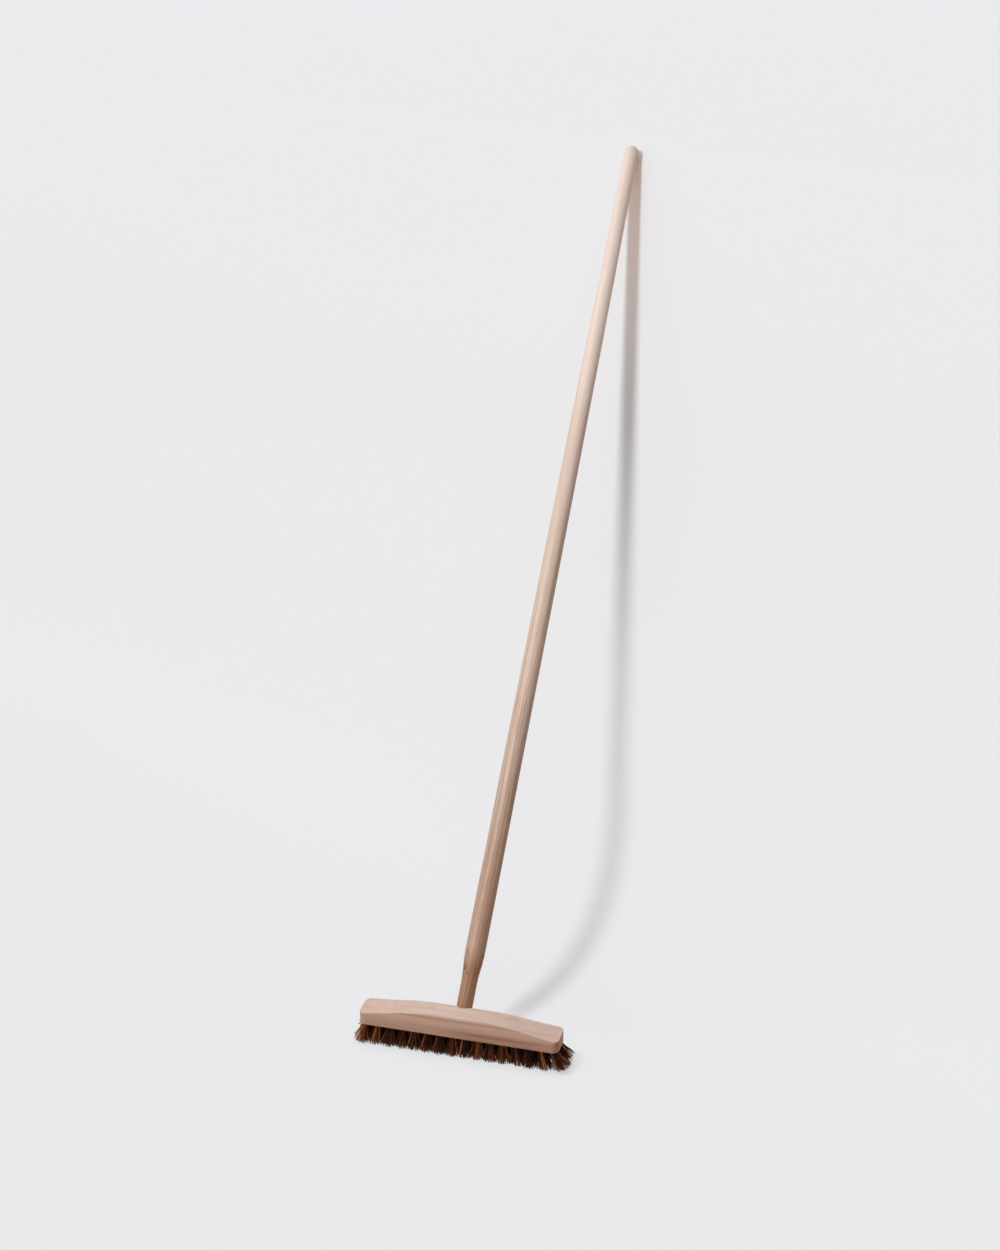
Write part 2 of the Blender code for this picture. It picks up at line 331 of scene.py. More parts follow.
def head_wood():
    """Pale close-grained wood with a few darker bands low on the front, and painted shade on its sides and
    ends.
    """
    g = Graph("pale_beech")
    where = g.coords()
    sway = g.noise(g.stretch(where, (5, 22, 22)), detail=2)
    layers = g.noise(g.stretch(where, (2.2, 60, 130)), detail=4, rough=0.55, distortion=0.6)
    lines = g.noise(g.stretch(where, (7, 420, 700)), detail=3, rough=0.6)
    flecks = g.noise(g.stretch(where, (210, 1500, 1900)), detail=1)
    flecks = g.range(flecks, 0.66, 0.78)
    colour = g.mix(g.range(layers, 0.34, 0.66, smooth=True), BLOCK_LIGHT, BLOCK_MIDDLE)
    colour = g.mix(g.math("MULTIPLY", g.range(lines, 0.5, 0.72), 0.38), colour, BLOCK_DARK)
    colour = g.mix(g.math("MULTIPLY", g.range(sway, 0.5, 0.75), 0.25), colour, BLOCK_DARK)
    colour = g.mix(g.math("MULTIPLY", flecks, 0.35), colour, BLOCK_DARK)
    # Painted shade: faces that turn sideways are darkened, and the ends more so.
    facing = g.split(g.coords("Normal"))
    colour = g.mix(g.range(facing[2], 0.45, 0.85, 1.0, 0.0, smooth=True), colour, BLOCK_SIDE_SHADE, "MULTIPLY")
    end = g.range(g.math("ABSOLUTE", facing[0]), 0.35, 0.9, smooth=True)
    colour = g.mix(end, colour, BLOCK_END_SHADE, "MULTIPLY")
    place = g.split(where)
    rising = g.range(place[0], -0.04, 0.03, smooth=True)
    falling = g.range(place[0], 0.09, 0.13, 1.0, 0.25, smooth=True)
    figure = g.math("MULTIPLY", rising, falling)
    bands = g.noise(g.stretch(where, (5, 90, 210), (3, 1, 6)), detail=3, rough=0.6, distortion=0.5)
    figure = g.math("MULTIPLY", figure, g.range(bands, 0.4, 0.6, 0.15, 1.0, smooth=True))
    figure = g.math("MULTIPLY", figure, g.range(place[2], 0.048, 0.042))
    figure = g.math("MULTIPLY", figure, g.range(place[1], -0.012, -0.014))
    colour = g.mix(figure, colour, BLOCK_FIGURE, "MULTIPLY")
    g.feed(g.shader.inputs["Base Color"], colour)
    g.feed(g.shader.inputs["Roughness"], g.range(lines, 0.3, 0.7, 0.5, 0.62))
    g.shader.inputs["Specular IOR Level"].default_value = 0.35
    g.bump(g.math("ADD", lines, g.math("MULTIPLY", flecks, -0.6)), 0.00006)
    return g.material


def handle_wood():
    """Open-grained wood, darker and coarse low down, paler and plainer towards the tip, with painted shade
    at the neck and on its two flanks.
    """
    g = Graph("ash_stick")
    where = g.coords()
    height = g.split(where)[2]
    drift = g.noise(g.stretch(where, (9, 9, 2.2)), detail=2)
    sway = g.node("ShaderNodeCombineXYZ")
    g.feed(sway.inputs[0], g.range(drift, 0.3, 0.7, -0.004, 0.004))
    bent = g.node("ShaderNodeVectorMath", operation="ADD")
    g.feed(bent.inputs[0], where)
    g.feed(bent.inputs[1], sway.outputs[0])
    grain = bent.outputs[0]
    layers = g.noise(g.stretch(grain, (240, 95, 2.4)), detail=4, rough=0.6, distortion=0.3)
    lines = g.noise(g.stretch(grain, (620, 360, 5)), detail=3, rough=0.62)
    pores = g.noise(g.stretch(grain, (1500, 1300, 34)), detail=2, rough=0.6)
    pores = g.range(pores, 0.54, 0.7)
    blush = g.noise(g.stretch(where, (30, 30, 7), (4, 2, 1)), detail=2)
    colour = g.mix(g.range(height, 0.1, 0.46, smooth=True), STICK_LOW, STICK_MIDDLE)
    colour = g.mix(g.range(height, 0.56, 1.12, smooth=True), colour, STICK_TOP)
    rough_share = g.range(height, 0.2, 1.0, 1.0, 0.3, smooth=True)

    def darken(share, amount, tint):
        nonlocal colour
        strength = g.math("MULTIPLY", g.math("MULTIPLY", share, amount), rough_share)
        colour = g.mix(strength, colour, tint, "MULTIPLY")

    darken(g.range(layers, 0.44, 0.66, smooth=True), 0.8, STICK_LAYER)
    darken(g.range(lines, 0.46, 0.66, smooth=True), 0.85, STICK_LINE)
    darken(pores, 0.6, STICK_PORE)
    darken(g.range(blush, 0.5, 0.72, smooth=True), 0.5, STICK_BLUSH)
    # Painted shade at the neck, where the handle goes into the block.
    darken(g.range(height, 0.06, 0.1, 1.0, 0.0, smooth=True), 0.95, STICK_NECK_SHADE)
    # Painted shade on the handle's two flanks, stronger on the right one.
    sideways = g.node("ShaderNodeVectorMath", operation="DOT_PRODUCT")
    g.feed(sideways.inputs[0], where)
    sideways.inputs[1].default_value = (*(part / HANDLE_RADIUS for part in STICK_SIDEWAYS), 0)
    across = sideways.outputs["Value"]
    left = g.range(across, -0.8, -0.2, 1.0, 0.0, smooth=True)
    left = g.math("MULTIPLY", left, g.range(height, 0.9, 1.1, 1.0, 0.0))
    colour = g.mix(g.math("MULTIPLY", left, 0.9), colour, STICK_LEFT_SHADE, "MULTIPLY")
    right = g.range(height, 0.15, 0.4, smooth=True)
    right = g.math("MULTIPLY", right, g.range(height, 0.9, 1.1, 1.0, 0.0))
    right = g.math("MULTIPLY", g.range(across, 0.3, 0.85, smooth=True), right)
    colour = g.mix(g.math("MULTIPLY", right, 0.9), colour, STICK_RIGHT_SHADE, "MULTIPLY")
    knot = g.noise(g.stretch(where, (120, 120, 55), (1, 5, 2)), detail=2)
    near = g.range(height, 0.055, 0.062, smooth=True)
    near = g.math("MULTIPLY", near, g.range(height, 0.085, 0.1, 1.0, 0.0))
    darken(g.math("MULTIPLY", g.range(knot, 0.55, 0.68, smooth=True), near), 0.9, STICK_KNOT)
    g.feed(g.shader.inputs["Base Color"], colour)
    g.feed(g.shader.inputs["Roughness"], g.range(pores, 0.0, 1.0, 0.46, 0.62))
    g.shader.inputs["Specular IOR Level"].default_value = 0.32
    g.bump(g.math("SUBTRACT", g.math("MULTIPLY", lines, 0.6), pores), 0.00009)
    return g.material


def fibre_material():
    """Stiff plant fibre, from nearly black to orange brown by each fibre's own tone. The near-black tone
    is painted shade, mostly for the middle row, and the dark specks are painted shade too.
    """
    g = Graph("dark_plant_fibre")
    tone = g.node("ShaderNodeAttribute", attribute_name="tone").outputs["Fac"]
    along = g.node("ShaderNodeAttribute", attribute_name="along").outputs["Fac"]
    speck = g.noise(g.stretch(g.coords(), (1, 1, 0.35)), scale=620, detail=2)
    # Painted shade: tones below zero, mostly in the middle row, go towards near black.
    colour = g.mix(g.range(tone, -0.4, 0.05, smooth=True), FIBRE_SHADED, FIBRE_DARK)
    colour = g.mix(g.range(tone, 0.05, 0.55, smooth=True), colour, FIBRE_MIDDLE)
    colour = g.mix(g.range(tone, 0.5, 0.9, smooth=True), colour, FIBRE_BRIGHT)
    # Painted shade: dark specks stand in for small shadows among the fibres. The same noise also makes the
    # fibre's bump.
    colour = g.mix(g.math("MULTIPLY", g.range(speck, 0.45, 0.65), 0.36), colour, FIBRE_SPECK_SHADE)
    colour = g.mix(g.range(along, 0.72, 1.0, 0.0, 0.5), colour, FIBRE_TIP)
    g.feed(g.shader.inputs["Base Color"], colour)
    g.shader.inputs["Roughness"].default_value = 0.6
    g.shader.inputs["Specular IOR Level"].default_value = 0.14
    g.bump(speck, 0.00004)
    return g.material


def arch_height(x):
    """Height of the arched top above the block's bottom."""
    share = np.clip(np.abs(x) / (HEAD_LENGTH / 2), 0, 1)
    return END_THICKNESS + (MIDDLE_THICKNESS - END_THICKNESS) * (1 - share ** 2) ** ARCH_POWER


def moulding_table():
    """Half width and height pairs of the moulded side, from the band up to the flat top."""
    pairs = []
    half = HEAD_WIDTH / 2
    for share in np.linspace(0, 1, MOULDING_STEPS):
        eased = share * share * (3 - 2 * share)
        pairs.append((half - COVE_DEPTH * eased, BAND_HEIGHT + COVE_HEIGHT * share))
    waist = half - COVE_DEPTH
    base = BAND_HEIGHT + COVE_HEIGHT
    rise = MIDDLE_THICKNESS + TOP_SKIM - base
    for turn in np.linspace(0, math.pi / 2, MOULDING_STEPS)[1:]:
        pairs.append((waist - SHOULDER_WIDTH * (1 - math.cos(turn)), base + rise * math.sin(turn)))
    return pairs


MOULDING = moulding_table()


def side_height(y):
    """Height of the moulded side above the block's bottom."""
    across = np.array([pair[0] for pair in reversed(MOULDING)])
    height = np.array([pair[1] for pair in reversed(MOULDING)])
    return np.interp(np.abs(y), across, height)


def soft_min(a, b, width):
    """The lower of two heights, rounded where they meet."""
    near = np.clip(width - np.abs(a - b), 0, None) / width
    return np.minimum(a, b) - near * near * width / 4


def outline_points():
    """The rounded rectangle seen from above, counterclockwise, denser at its corners."""
    half_x = HEAD_LENGTH / 2 - CORNER_RADIUS
    half_y = HEAD_WIDTH / 2 - CORNER_RADIUS
    sides = ((1, 1), (-1, 1), (-1, -1), (1, -1))

    def corner_point(corner, share):
        turn = math.pi / 2 * (corner + share)
        side_x, side_y = sides[corner % 4]
        return (side_x * half_x + CORNER_RADIUS * math.cos(turn),
                side_y * half_y + CORNER_RADIUS * math.sin(turn))

    points = []
    for corner in range(4):
        points += [corner_point(corner, step / CORNER_STEPS) for step in range(CORNER_STEPS + 1)]
        start = points[-1]
        end = corner_point(corner + 1, 0)
        steps = LONG_SIDE_STEPS if corner % 2 == 0 else SHORT_SIDE_STEPS
        for step in range(1, steps):
            share = step / steps
            points.append((start[0] + (end[0] - start[0]) * share,
                           start[1] + (end[1] - start[1]) * share))
    return np.array(points)


def block_mesh():
    """The block as rings of its outline, from the top's middle line down to the middle of its bottom."""
    outline = outline_points()
    count = len(outline)
    spine_half = HEAD_LENGTH / 2 - HEAD_WIDTH / 2
    spine = np.stack([np.clip(outline[:, 0], -spine_half, spine_half), np.zeros(count)], axis=1)
    reach = np.linalg.norm(outline - spine, axis=1)
    half = HEAD_WIDTH / 2
    inner = np.linspace(0, half - COVE_DEPTH - SHOULDER_WIDTH - CREASE_SOFTNESS, INNER_RINGS)
    outer = [pair[0] for pair in reversed(MOULDING)]
    widths = np.unique(np.round(np.concatenate([inner, outer]), 7))
    widths = widths[widths < half - EDGE_SOFTNESS]
    rim = half - EDGE_SOFTNESS * np.array(EDGE_STEPS)
    shares = np.concatenate([widths, rim]) / half
    rings = []
    for share in shares:
        plan = spine + (outline - spine) * share
        inward = reach * (1 - share)
        top = soft_min(arch_height(plan[:, 0]), side_height(plan[:, 1]), CREASE_SOFTNESS)
        near = np.clip(EDGE_SOFTNESS - inward, 0, EDGE_SOFTNESS)
        top = top - (EDGE_SOFTNESS - np.sqrt(EDGE_SOFTNESS ** 2 - near ** 2))
        rings.append(np.column_stack([plan, BLOCK_BOTTOM + top]))
    lip = rings[-1][:, 2] - BLOCK_BOTTOM
    for share in np.linspace(0, 1, WALL_STEPS + 1)[1:]:
        wall = BLOCK_BOTTOM + BOTTOM_EDGE + (lip - BOTTOM_EDGE) * (1 - share)
        rings.append(np.column_stack([outline, wall]))
    for step in range(1, BOTTOM_STEPS + 1):
        turn = math.pi / 2 * step / BOTTOM_STEPS
        plan = spine + (outline - spine) * (1 - BOTTOM_EDGE * (1 - math.cos(turn)) / reach)[:, None]
        level = BLOCK_BOTTOM + BOTTOM_EDGE * (1 - math.sin(turn))
        rings.append(np.column_stack([plan, np.full(count, level)]))
    for share in BOTTOM_SHARES:
        plan = spine + (outline - spine) * share
        rings.append(np.column_stack([plan, np.full(count, BLOCK_BOTTOM)]))
    points = np.concatenate(rings)
    faces = []
    for ring in range(len(rings) - 1):
        for step in range(count):
            after = (step + 1) % count
            faces.append((ring * count + step, (ring + 1) * count + step,
                          (ring + 1) * count + after, ring * count + after))
    mesh = bpy.data.meshes.new("block")
    mesh.from_pydata(points.tolist(), [], faces)
    bm = bmesh.new()
    bm.from_mesh(mesh)
    bmesh.ops.remove_doubles(bm, verts=bm.verts, dist=2e-6)
    bmesh.ops.dissolve_degenerate(bm, edges=bm.edges, dist=1e-6)
    bmesh.ops.recalc_face_normals(bm, faces=bm.faces)
    bm.to_mesh(mesh)
    bm.free()
    return mesh


def turned(profile, sides, name):
    """A turned solid about local Z, with closed ends."""
    bm = bmesh.new()
    rings = []
    for radius, height in profile:
        ring = []
        for step in range(sides):
            turn = 2 * math.pi * step / sides
            ring.append(bm.verts.new((radius * math.cos(turn), radius * math.sin(turn), height)))
        rings.append(ring)
    for lower, upper in zip(rings, rings[1:]):
        for step in range(sides):
            after = (step + 1) % sides
            bm.faces.new((lower[step], lower[after], upper[after], upper[step]))
    bm.faces.new(list(reversed(rings[0])))
    bm.faces.new(rings[-1])
    mesh = bpy.data.meshes.new(name)
    bm.to_mesh(mesh)
    bm.free()
    return mesh


def add(name, mesh, material=None, matrix=None):
    piece = bpy.data.objects.new(name, mesh)
    bpy.context.scene.collection.objects.link(piece)
    if matrix is not None:
        piece.matrix_world = matrix
    if material is not None:
        mesh.materials.append(material)
    return piece


def cut(piece, cutter):
    """Cut one object out of another, and remove it."""
    modifier = piece.modifiers.new("cut", "BOOLEAN")
    modifier.object = cutter
    modifier.operation = "DIFFERENCE"
    modifier.solver = "EXACT"
    bpy.context.view_layer.update()
    result = piece.evaluated_get(bpy.context.evaluated_depsgraph_get())
    shape = bpy.data.meshes.new_from_object(result)
    piece.modifiers.clear()
    piece.data = shape
    bpy.data.objects.remove(cutter, do_unlink=True)


def tuft_places():
    """Name, x and y of each hole."""
    pitch = (HEAD_LENGTH - 2 * END_MARGIN) / (OUTER_ROW_COUNT - 1)
    side = HEAD_WIDTH / 2 - SIDE_MARGIN
    rows = (("front", OUTER_ROW_COUNT, -side), ("middle", OUTER_ROW_COUNT - 1, 0.0),
            ("back", OUTER_ROW_COUNT, side))
    for row, count, y in rows:
        for step in range(count):
            yield f"{row}_{step + 1:02d}", (step - (count - 1) / 2) * pitch, y


def build_block():
    block = add("block", block_mesh())
    bore = [(WEDGE_RADIUS + FIT_CLEARANCE, 0.0), (NECK_RADIUS + FIT_CLEARANCE, WEDGE_LENGTH),
            (NECK_RADIUS + FIT_CLEARANCE, WEDGE_LENGTH + NECK_LENGTH)]
    cut(block, add("bore", turned(bore, BORE_SIDES, "bore"), matrix=HANDLE_PLACE))
    holes = bmesh.new()
    for _, x, y in tuft_places():
        bmesh.ops.create_cone(
            holes, cap_ends=True, segments=HOLE_SIDES, radius1=HOLE_RADIUS, radius2=HOLE_RADIUS,
            depth=2 * HOLE_DEPTH, matrix=Matrix.Translation((x, y, BLOCK_BOTTOM)))
    drilled = bpy.data.meshes.new("holes")
    holes.to_mesh(drilled)
    holes.free()
    cut(block, add("holes", drilled))
    block.data.materials.clear()
    block.data.materials.append(head_wood())
    block.data.shade_smooth()
    block.data.set_sharp_from_angle(angle=BLOCK_CREASE)
    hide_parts("head_block")
    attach(block, "head")


def handle_profile():
    """Radius and height pairs of the turned stick, smooth through the shares in the two tables."""
    neck_end = WEDGE_LENGTH + NECK_LENGTH
    body_start = neck_end + SHOULDER_LENGTH
    dome_start = HANDLE_LENGTH - TIP_RADIUS
    known = [(neck_end, NECK_RADIUS)]
    for along, step in NECK_SHOULDER[1:]:
        known.append((neck_end + SHOULDER_LENGTH * along,
                      NECK_RADIUS + (HANDLE_RADIUS - NECK_RADIUS) * step))
    for along, step in TAPER[1:]:
        known.append((body_start + (dome_start - body_start) * along,
                      HANDLE_RADIUS + (TIP_RADIUS - HANDLE_RADIUS) * step))
    heights = np.array([pair[0] for pair in known])
    radii = np.array([pair[1] for pair in known])
    slopes = np.gradient(radii, heights)
    slopes[0] = 0
    rises = np.diff(radii) / np.diff(heights)
    for step in range(1, len(slopes) - 1):
        before, after = rises[step - 1], rises[step]
        slopes[step] = 0 if before * after <= 0 else 2 * before * after / (before + after)
    profile = [(WEDGE_RADIUS - END_CHAMFER, FIT_CLEARANCE), (WEDGE_RADIUS, FIT_CLEARANCE + END_CHAMFER),
               (NECK_RADIUS - NECK_CHAMFER, WEDGE_LENGTH - END_CHAMFER),
               (NECK_RADIUS, WEDGE_LENGTH + END_CHAMFER)]
    for height in np.concatenate([np.linspace(WEDGE_LENGTH + NECK_FIRST_RING, neck_end, NECK_STEPS)[:-1],
                                  np.linspace(neck_end, body_start, SHOULDER_STEPS)[:-1],
                                  np.linspace(body_start, dome_start, BODY_STEPS)]):
        slot = int(np.clip(np.searchsorted(heights, height) - 1, 0, len(heights) - 2))
        run = heights[slot + 1] - heights[slot]
        t = max(0.0, (height - heights[slot]) / run)
        radius = ((2 * t ** 3 - 3 * t ** 2 + 1) * radii[slot]
                  + (t ** 3 - 2 * t ** 2 + t) * run * slopes[slot]
                  + (3 * t ** 2 - 2 * t ** 3) * radii[slot + 1]
                  + (t ** 3 - t ** 2) * run * slopes[slot + 1])
        profile.append((radius, height))
    for step in range(1, DOME_STEPS):
        turn = math.pi / 2 * step / DOME_STEPS
        profile.append((TIP_RADIUS * math.cos(turn), dome_start + TIP_RADIUS * math.sin(turn)))
    return profile


def build_handle():
    stick = add("stick", turned(handle_profile(), STICK_SIDES, "stick"), handle_wood(), HANDLE_PLACE)
    stick.data.shade_smooth()
    stick.data.set_sharp_from_angle(angle=STICK_CREASE)
    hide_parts("handle")
    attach(stick, "handle")


def build_tuft(name, x, y, number, material):
    """A bundle of bent fibres that fan out of one hole. Its draws come in a fixed order."""
    draw = random.Random(TUFT_SEED + number)
    reach = HEAD_LENGTH / 2 - END_MARGIN
    at_end = abs(x / reach) ** END_POWER
    lean_x = math.copysign(END_SPLAY * abs(x / reach) ** SPLAY_POWER, x)
    lean_x += draw.uniform(-LEAN_SCATTER_ALONG, LEAN_SCATTER_ALONG)
    if y == 0:
        lean_x *= 1 + MIDDLE_END_REACH * at_end
    if x < 0:
        lean_x *= LEFT_SPLAY_SHARE
    lean_x += at_end * END_SHIFT[(x > 0, (y > 0) - (y < 0))]
    lean_y = SIDE_SPLAY * y / (HEAD_WIDTH / 2 - SIDE_MARGIN)
    lean_y += draw.uniform(-LEAN_SCATTER_ACROSS, LEAN_SCATTER_ACROSS)
    points = []
    faces = []
    tones = []
    alongs = []
    tuft_tone = draw.uniform(-TUFT_TONE_SCATTER, TUFT_TONE_SCATTER)
    # Painted shade: the middle row's tuft is darkened, less so at the ends.
    if y == 0:
        tuft_tone += MIDDLE_ROW_SHADE * (1 - at_end)
    clumps = [draw.choices(CLUMP_TONES, CLUMP_CHANCES)[0] for _ in range(CLUMPS_PER_TUFT)]
    for fibre in range(FIBRES_PER_TUFT):
        spiral = ((fibre + 0.5) / FIBRES_PER_TUFT) ** SPIRAL_POWER
        turn = fibre * GOLDEN_TURN + draw.uniform(-TURN_SCATTER, TURN_SCATTER)
        radius = ROOT_RING * spiral
        outward_x, outward_y = math.cos(turn), math.sin(turn)
        root = Vector((x + radius * outward_x, y + radius * outward_y, BLOCK_BOTTOM + ROOT_DEPTH))
        spread = SPREAD + draw.uniform(*SPREAD_SCATTER)
        far_x = radius * spread * SPREAD_ALONG * outward_x
        far_y = radius * spread * (1 + SPREAD_ACROSS_AT_END * at_end) * outward_y
        tip = Vector((x + lean_x + far_x + draw.gauss(0, TIP_SCATTER),
                      y + lean_y + far_y + draw.gauss(0, TIP_SCATTER), 0))
        if draw.random() < STRAY_CHANCE + STRAY_CHANCE * at_end:
            stray = draw.uniform(*STRAY_REACH)
            tip.x += stray * outward_x + stray * STRAY_OUTWARD * math.copysign(at_end, x)
            tip.y += stray * outward_y
        uneven = abs(draw.gauss(0, TIP_UNEVENNESS))
        short = draw.uniform(0, MOST_SHORT) if draw.random() < SHORT_CHANCE else 0
        tip.z = uneven + short
        mouth = Vector((root.x, root.y, BLOCK_BOTTOM))
        aside = min(MOST_ASIDE * BLOCK_BOTTOM, math.hypot(tip.x - root.x, tip.y - root.y))
        lost = BLOCK_BOTTOM - math.sqrt(BLOCK_BOTTOM ** 2 - aside ** 2)
        tip.z += lost * (SPLAY_LIFT + (1 - SPLAY_LIFT) * at_end)
        middle = mouth.lerp(tip, 0.5)
        middle.x += (mouth.x - tip.x) * BOW + draw.gauss(0, BOW_SCATTER)
        middle.y += (mouth.y - tip.y) * BOW + draw.gauss(0, BOW_SCATTER)
        thick = draw.uniform(*FIBRE_RADIUS)
        twist = draw.uniform(0, math.pi)
        sector = int(turn / (2 * math.pi) * CLUMP_SECTORS) % CLUMP_SECTORS
        clump = clumps[sector + CLUMP_SECTORS * (spiral > CLUMP_SPLIT)]
        tone = clump + tuft_tone + draw.gauss(0, FIBRE_TONE_SCATTER)
        tone = min(1.0, max(MIDDLE_ROW_SHADE, tone))
        path = [root]
        for step in range(FIBRE_RINGS):
            path.append(curve_point(mouth, middle, tip, step / (FIBRE_RINGS - 1)))
        first = len(points)
        for ring, centre in enumerate(path):
            width = thick * (1.0 + TIP_THICKENING * ring / FIBRE_RINGS)
            for side in range(FIBRE_SIDES):
                angle = twist + 2 * math.pi / FIBRE_SIDES * side
                points.append((centre.x + width * math.cos(angle),
                               centre.y + width * math.sin(angle), centre.z))
                tones.append(tone)
                alongs.append(ring / FIBRE_RINGS)
        for ring in range(FIBRE_RINGS):
            low = first + ring * FIBRE_SIDES
            high = low + FIBRE_SIDES
            for side in range(FIBRE_SIDES):
                after = (side + 1) % FIBRE_SIDES
                faces.append((low + side, high + side, high + after, low + after))
        last = first + FIBRE_RINGS * FIBRE_SIDES
        faces.append(tuple(range(first, first + FIBRE_SIDES)))
        faces.append(tuple(reversed(range(last, last + FIBRE_SIDES))))
    mesh = bpy.data.meshes.new("fibres_" + name)
    mesh.from_pydata(points, [], faces)
    for label, values in (("tone", tones), ("along", alongs)):
        mesh.attributes.new(label, "FLOAT", "POINT").data.foreach_set("value", values)
    mesh.shade_smooth()
    tuft = add("fibres_" + name, mesh, material)
    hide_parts("tuft_" + name)
    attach(tuft, "head")


def build_tufts():
    material = fibre_material()
    for number, (name, x, y) in enumerate(tuft_places()):
        build_tuft(name, x, y, number, material)


def sweep_profile():
    """Floor, cove and leaning sheet, as places back and up.

    The bend at the handle's tip leaves the handle room to be pulled out along its axis.
    """
    tip = SOCKET_END + AXIS_OUT * (HANDLE_LENGTH - TIP_RADIUS)
    back = tip.dot(SWEEP_BACK) + SWEEP_GAP * math.sin(SWEEP_SLOPE)
    up = tip.z - SWEEP_GAP * math.cos(SWEEP_SLOPE)
    foot = Vector((back - up / math.tan(SWEEP_SLOPE), 0))
    along = Vector((math.cos(SWEEP_SLOPE), math.sin(SWEEP_SLOPE)))
    start = foot - Vector((SWEEP_COVE, 0))
    end = foot + along * SWEEP_COVE
    points = [Vector((place, 0)) for place in FLOOR_PLACES]
    for step in range(COVE_STEPS + 1):
        points.append(curve_point(start, foot, end, step / COVE_STEPS))
    top = Vector((math.cos(SWEEP_TOP_SLOPE), math.sin(SWEEP_TOP_SLOPE)))
    bend = Vector((back, up))
    for step in range(BEND_STEPS + 1):
        points.append(curve_point(bend - along * SWEEP_BEND, bend, bend + top * SWEEP_BEND,
                                  step / BEND_STEPS))
    return points + [bend + top * place for place in SHEET_PLACES]


def stage_material():
    """Paper that looks evenly pale to the camera, takes the real shadows, and lights the object softly."""
    g = Graph("pale_paper")
    link = g.tree.links.new

    def vector(operation, first, second=None, out=0):
        made = g.node("ShaderNodeVectorMath", operation=operation)
        g.feed(made.inputs[0], first)
        if second is not None:
            g.feed(made.inputs[1], second)
        return made.outputs[out]

    def scale(first, amount):
        made = g.node("ShaderNodeVectorMath", operation="SCALE")
        g.feed(made.inputs[0], first)
        g.feed(made.inputs["Scale"], amount)
        return made.outputs[0]

    def beyond(distance, limit):
        return g.math("MAXIMUM", g.math("SUBTRACT", g.math("ABSOLUTE", distance), limit), 0.0)

    geometry = g.node("ShaderNodeNewGeometry").outputs
    place = g.split(geometry["Position"])

    # What the lamp gives each place of the paper, with what reaches it otherwise.
    to_key = vector("SUBTRACT", KEY_PLACE, geometry["Position"])
    far = vector("LENGTH", to_key, out=1)
    ray = vector("NORMALIZE", to_key)
    facing = g.math("MAXIMUM", vector("DOT_PRODUCT", ray, geometry["Normal"], out=1), 0.0)
    axis = (KEY_PLACE - KEY_AIM).normalized()
    leaving = g.math("MAXIMUM", vector("DOT_PRODUCT", ray, axis, out=1), 0.0)
    key = g.math("DIVIDE", g.math("MULTIPLY", facing, leaving), g.math("MULTIPLY", far, far))
    key = g.math("MULTIPLY", key, KEY_POWER / math.pi ** 2)
    upward = g.split(geometry["Normal"])[2]
    tilt = g.range(upward, math.cos(SWEEP_SLOPE), 1.0, 1.0, 0.0)
    tilt = g.math("MULTIPLY", tilt, tilt)
    fill = g.math("SUBTRACT", FLOOR_FILL, g.math("MULTIPLY", tilt, FLOOR_FILL - WALL_FILL))
    above = g.range(place[2], *TOP_BAND, 0.0, TOP_FILL, smooth=True)
    level = g.math("ADD", key, g.math("ADD", fill, above))
    albedo = g.math("MINIMUM", g.math("DIVIDE", 1.0, level), MOST_PAPER)

    # The share of the paper's colour that takes shadows. The rest glows.
    aside = beyond(place[0], HEAD_LENGTH / 2)
    ahead = beyond(place[1], HEAD_WIDTH / 2)
    away = g.math("ADD", g.math("MULTIPLY", aside, aside), g.math("MULTIPLY", ahead, ahead))
    away = g.math("SQRT", away)
    near = g.range(away, *HEAD_BAND, HEAD_LIFT, 0.0, smooth=True)
    near = g.math("MULTIPLY", near, g.range(away, *CONTACT_BAND))
    low = g.range(place[2], *LOW_BAND, 1 - LOW_LIFT, 1.0)
    shown = g.math("MULTIPLY", g.math("SUBTRACT", 1.0, near), low)
    high = g.range(place[2], *HIGH_BAND, smooth=True)
    share = g.mix(high, (1, 1, 1), tuple(1 - lift for lift in HIGH_LIFT))
    share = vector("MULTIPLY", share, g.mix(shown, (0, 0, 0), (1, 1, 1)))
    paper = g.node("ShaderNodeCombineXYZ")
    for part, number in zip(paper.inputs, PAPER):
        part.default_value = number
    paper = paper.outputs[0]
    lit = vector("MULTIPLY", paper, share)
    shade = g.node("ShaderNodeBsdfDiffuse")
    g.feed(shade.inputs["Color"], scale(lit, albedo))
    reached = g.math("MINIMUM", g.math("MULTIPLY", albedo, level), 1.0)
    glow = g.node("ShaderNodeEmission")
    g.feed(glow.inputs["Color"], vector("SUBTRACT", paper, scale(lit, reached)))
    pale = g.node("ShaderNodeAddShader")
    link(shade.outputs[0], pale.inputs[0])
    link(glow.outputs[0], pale.inputs[1])

    # To other rays the paper is a duller, warmer sheet, and from behind it is clear.
    dull = g.node("ShaderNodeBsdfDiffuse")
    g.feed(dull.inputs["Color"], g.mix(g.range(place[2], *BOUNCE_BAND), BOUNCE_LOW, BOUNCE_HIGH))
    path = g.node("ShaderNodeLightPath").outputs
    seen = g.math("MAXIMUM", path["Is Camera Ray"], path["Is Glossy Ray"])
    seen = g.math("MAXIMUM", seen, path["Is Transmission Ray"])
    both = g.node("ShaderNodeMixShader")
    g.feed(both.inputs[0], seen)
    link(dull.outputs[0], both.inputs[1])
    link(pale.outputs[0], both.inputs[2])
    clear = g.node("ShaderNodeBsdfTransparent")
    last = g.node("ShaderNodeMixShader")
    g.feed(last.inputs[0], geometry["Backfacing"])
    link(both.outputs[0], last.inputs[1])
    link(clear.outputs[0], last.inputs[2])
    link(last.outputs[0], g.output.inputs["Surface"])
    return g.material


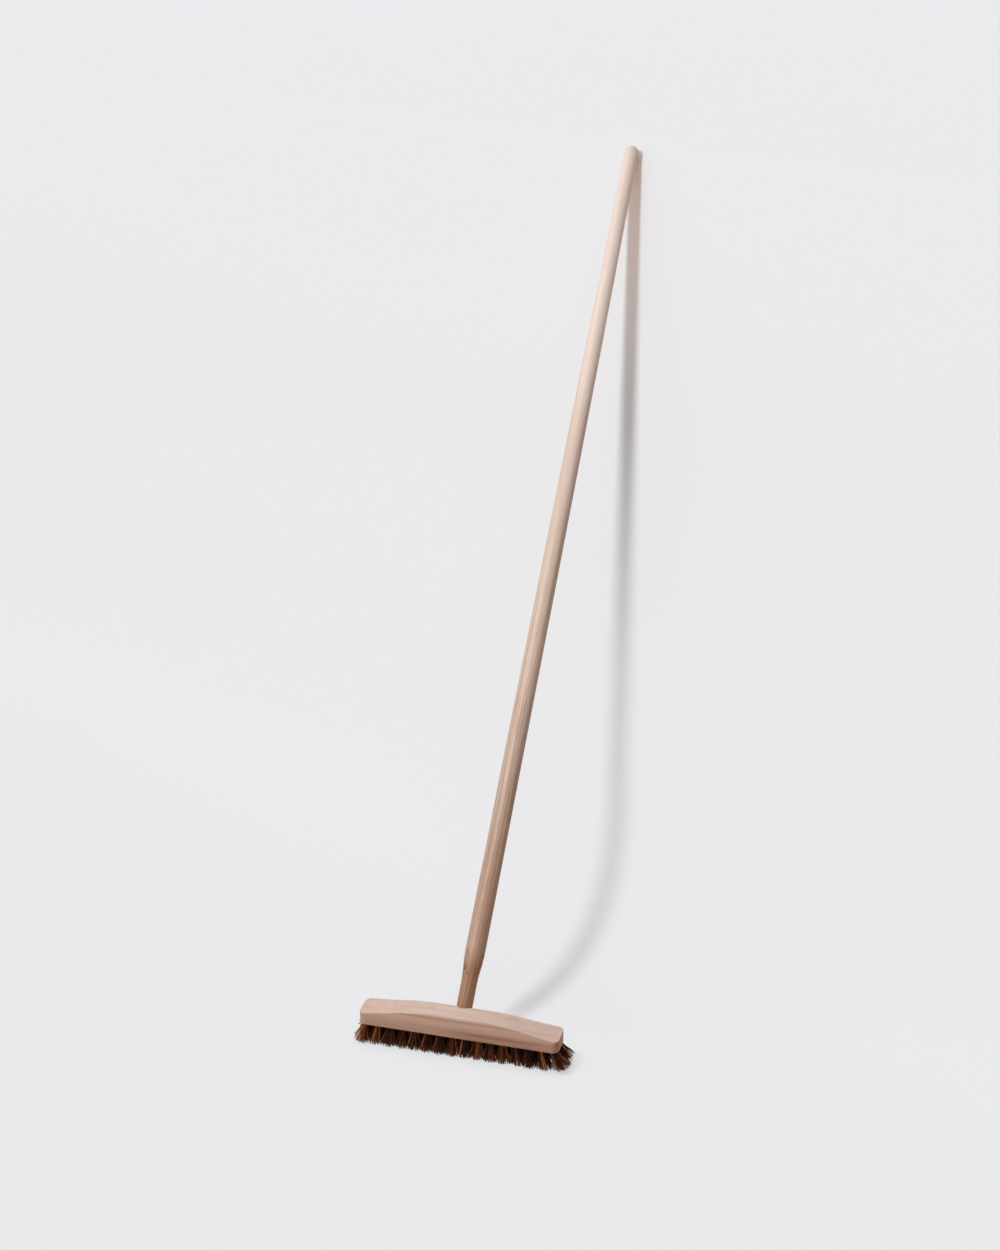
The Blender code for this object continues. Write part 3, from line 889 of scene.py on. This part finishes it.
def build_stage():
    points = []
    for back, up in sweep_profile():
        for side in (-SHEET_HALF_WIDTH, SHEET_HALF_WIDTH):
            here = SWEEP_BACK * back + SWEEP_ALONG * side
            points.append((here.x, here.y, up))
    count = len(points) // 2
    faces = [(2 * step, 2 * step + 1, 2 * step + 3, 2 * step + 2) for step in range(count - 1)]
    mesh = bpy.data.meshes.new("sweep")
    mesh.from_pydata(points, [], faces)
    mesh.shade_smooth()
    sheet = add("sweep", mesh, stage_material())


def build_light():
    """One soft lamp, and a sky that is brighter on the left. The camera sees the sky as paper."""
    softbox = bpy.data.lights.new("key", "AREA")
    softbox.shape = "DISK"
    softbox.size = KEY_SIZE
    softbox.energy = KEY_POWER
    lamp = bpy.data.objects.new("key", softbox)
    lamp.location = KEY_PLACE
    lamp.rotation_euler = (KEY_PLACE - KEY_AIM).to_track_quat("Z", "Y").to_euler()
    bpy.context.scene.collection.objects.link(lamp)

    world = bpy.data.worlds.new("studio")
    bpy.context.scene.world = world
    world.use_nodes = True
    nodes, links = world.node_tree.nodes, world.node_tree.links
    plain = nodes["Background"]
    plain.inputs["Color"].default_value = (1, 1, 1, 1)
    heading = nodes.new("ShaderNodeSeparateXYZ")
    links.new(nodes.new("ShaderNodeTexCoord").outputs["Generated"], heading.inputs[0])
    skew = nodes.new("ShaderNodeMapRange")
    limits = {"From Min": -1, "From Max": 1, "To Min": SKY + SKY_SKEW, "To Max": SKY - SKY_SKEW}
    for name, number in limits.items():
        skew.inputs[name].default_value = number
    links.new(heading.outputs[0], skew.inputs["Value"])
    links.new(skew.outputs[0], plain.inputs["Strength"])
    seen = nodes.new("ShaderNodeBackground")
    seen.inputs["Color"].default_value = (*PAPER, 1)
    path = nodes.new("ShaderNodeLightPath")
    both = nodes.new("ShaderNodeMixShader")
    links.new(path.outputs["Is Camera Ray"], both.inputs[0])
    links.new(plain.outputs[0], both.inputs[1])
    links.new(seen.outputs[0], both.inputs[2])
    links.new(both.outputs[0], nodes["World Output"].inputs["Surface"])


def build_camera():
    """The photograph's view, worked out from the head's outline and the handle's edges."""
    turn = Matrix.Rotation(VIEW_YAW, 3, "Z") @ Matrix.Rotation(math.pi / 2 - VIEW_PITCH, 3, "X")
    across = (ORIGIN_PIXEL[0] - IMAGE_WIDTH / 2) / VIEW_FOCAL * VIEW_DEPTH
    down = (ORIGIN_PIXEL[1] - IMAGE_HEIGHT / 2) / VIEW_FOCAL * VIEW_DEPTH
    offset = Vector((across, -down, -VIEW_DEPTH))
    data = bpy.data.cameras.new("view")
    data.sensor_fit = "VERTICAL"
    data.sensor_height = SENSOR_HEIGHT
    data.lens = VIEW_FOCAL / IMAGE_HEIGHT * SENSOR_HEIGHT
    camera = bpy.data.objects.new("view", data)
    camera.location = -(turn @ offset)
    camera.rotation_euler = turn.to_euler()
    bpy.context.scene.collection.objects.link(camera)
    bpy.context.scene.camera = camera


build_camera()
build_stage()
build_light()
build_block()
build_handle()
build_tufts()
bpy.context.scene.view_settings.view_transform = "Standard"
